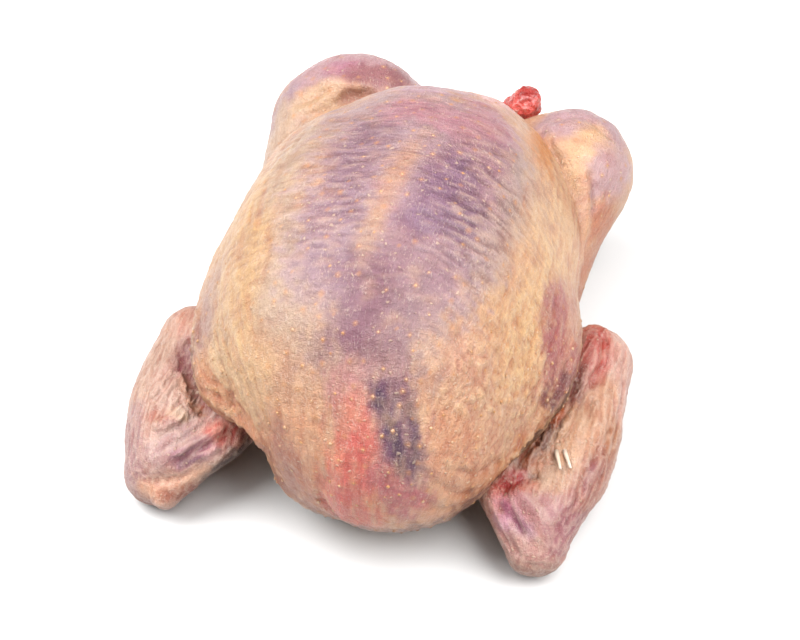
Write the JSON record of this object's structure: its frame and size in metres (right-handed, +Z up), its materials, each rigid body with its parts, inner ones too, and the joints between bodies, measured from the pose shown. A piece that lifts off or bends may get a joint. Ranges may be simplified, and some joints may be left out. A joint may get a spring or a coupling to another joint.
{
  "type": "whole raw squab",
  "caption": "Whole dressed raw squab lying on its back, breast up, with folded wings, tucked legs and bare skin.",
  "frame": {"origin": "bottom centre of the box round the whole bird, on the surface it lies on", "axes": "+Z up from the back to the breast, +Y from the neck end to the tail, +X to the bird's own right"},
  "size_m": [0.1142, 0.1376, 0.0762],
  "materials": {
    "skin": "moist, semi-gloss",
    "raw_flesh": "wet",
    "quill": "satin",
    "follicle_fat": "satin"
  },
  "bodies": {
    "root": {"squab": "skin"}
  },
  "joints": []
}
